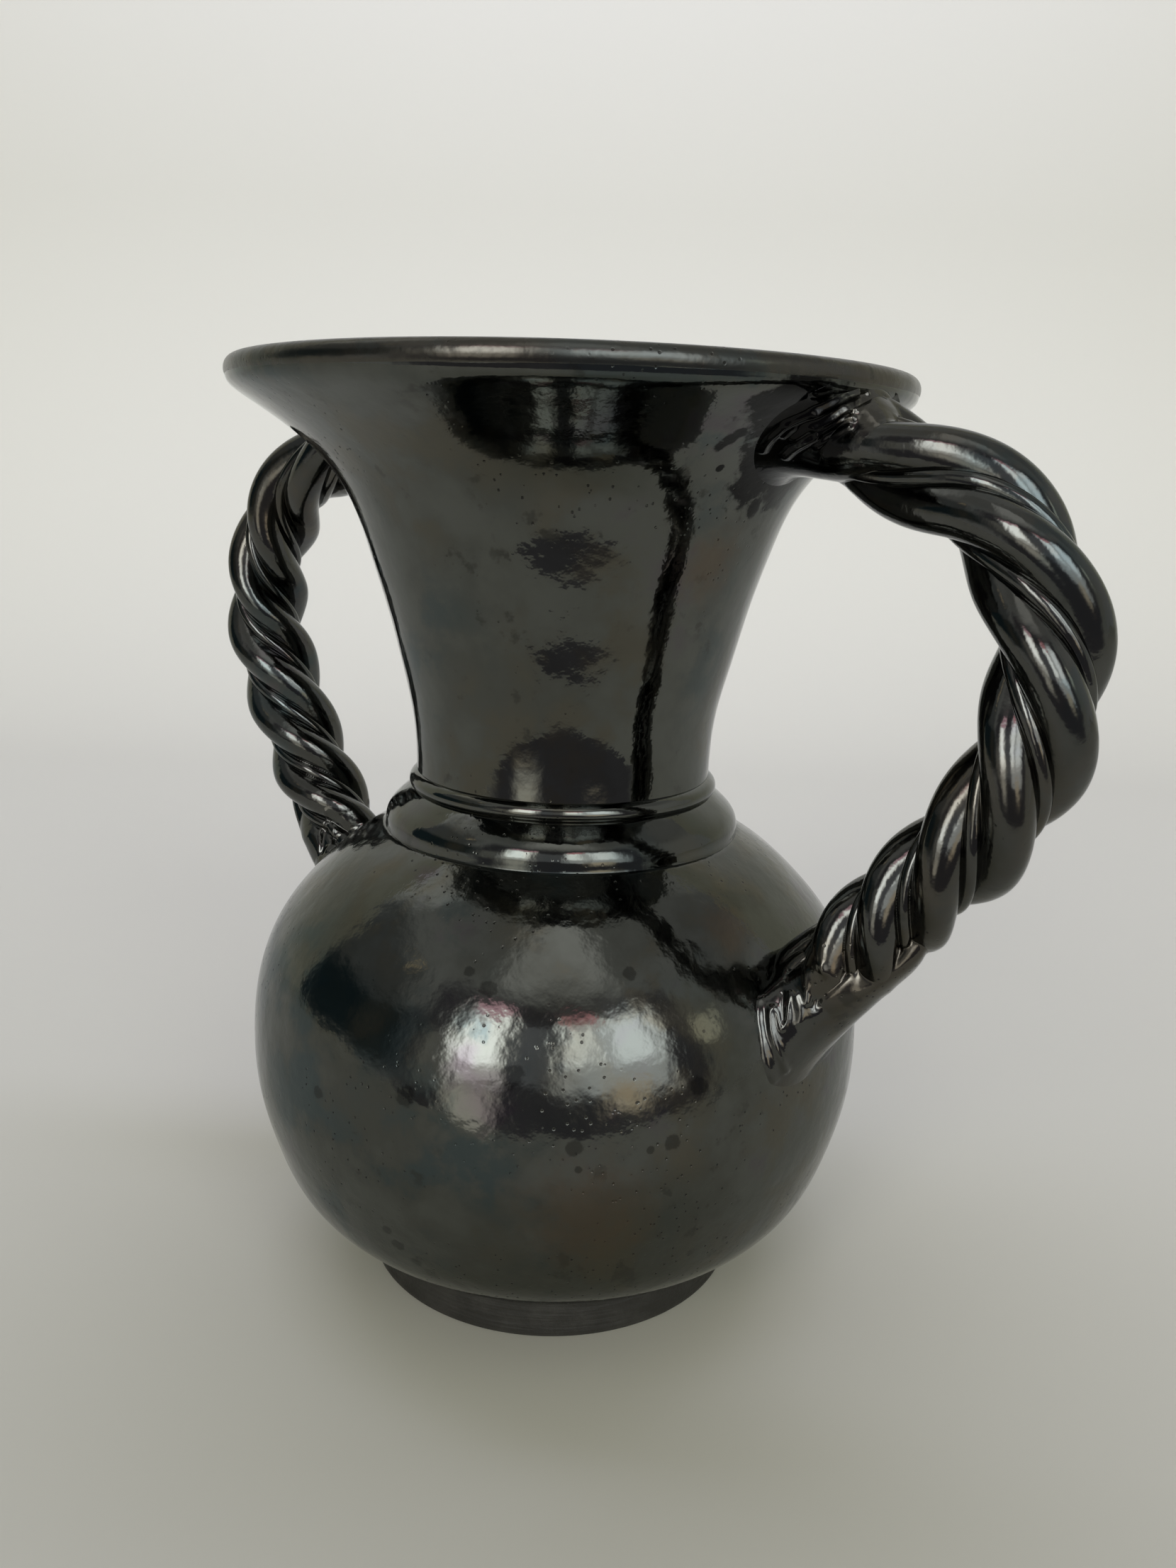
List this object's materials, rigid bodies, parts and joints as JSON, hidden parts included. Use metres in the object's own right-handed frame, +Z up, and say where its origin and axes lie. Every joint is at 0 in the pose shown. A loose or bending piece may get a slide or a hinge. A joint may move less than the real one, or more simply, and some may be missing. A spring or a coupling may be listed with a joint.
{
  "type": "two-handled vase",
  "caption": "Round-bodied glazed ceramic vase with a trumpet neck, turned foot and collar, and twisted rope handles from under the rim to the shoulder.",
  "frame": {"origin": "centre of the foot ring's resting plane, on the axis of the vase", "axes": "+Z up along the axis of the vase, the two handles along +X and -X"},
  "size_m": [0.2608, 0.16, 0.226],
  "materials": {
    "black_glaze": "glossy black mirror glaze with a gunmetal lustre",
    "rope_glaze": "glossy black mirror glaze over twisted coils",
    "bare_foot": "thin satin glaze, worn where it rests"
  },
  "bodies": {
    "root": {"foot_ring": "bare_foot", "round_body": "black_glaze", "neck_collar": "black_glaze", "neck_bead": "black_glaze", "trumpet_neck": "black_glaze", "rim_lip": "black_glaze", "right_handle_coil_1": "rope_glaze", "right_handle_coil_2": "rope_glaze", "right_handle_coil_3": "rope_glaze", "right_handle_cord_1": "rope_glaze", "right_handle_cord_2": "rope_glaze", "right_handle_cord_3": "rope_glaze", "right_handle_upper_joint": "rope_glaze", "right_handle_lower_joint": "rope_glaze", "left_handle_coil_1": "rope_glaze", "left_handle_coil_2": "rope_glaze", "left_handle_coil_3": "rope_glaze", "left_handle_cord_1": "rope_glaze", "left_handle_cord_2": "rope_glaze", "left_handle_cord_3": "rope_glaze", "left_handle_upper_joint": "rope_glaze", "left_handle_lower_joint": "rope_glaze"}
  },
  "joints": []
}
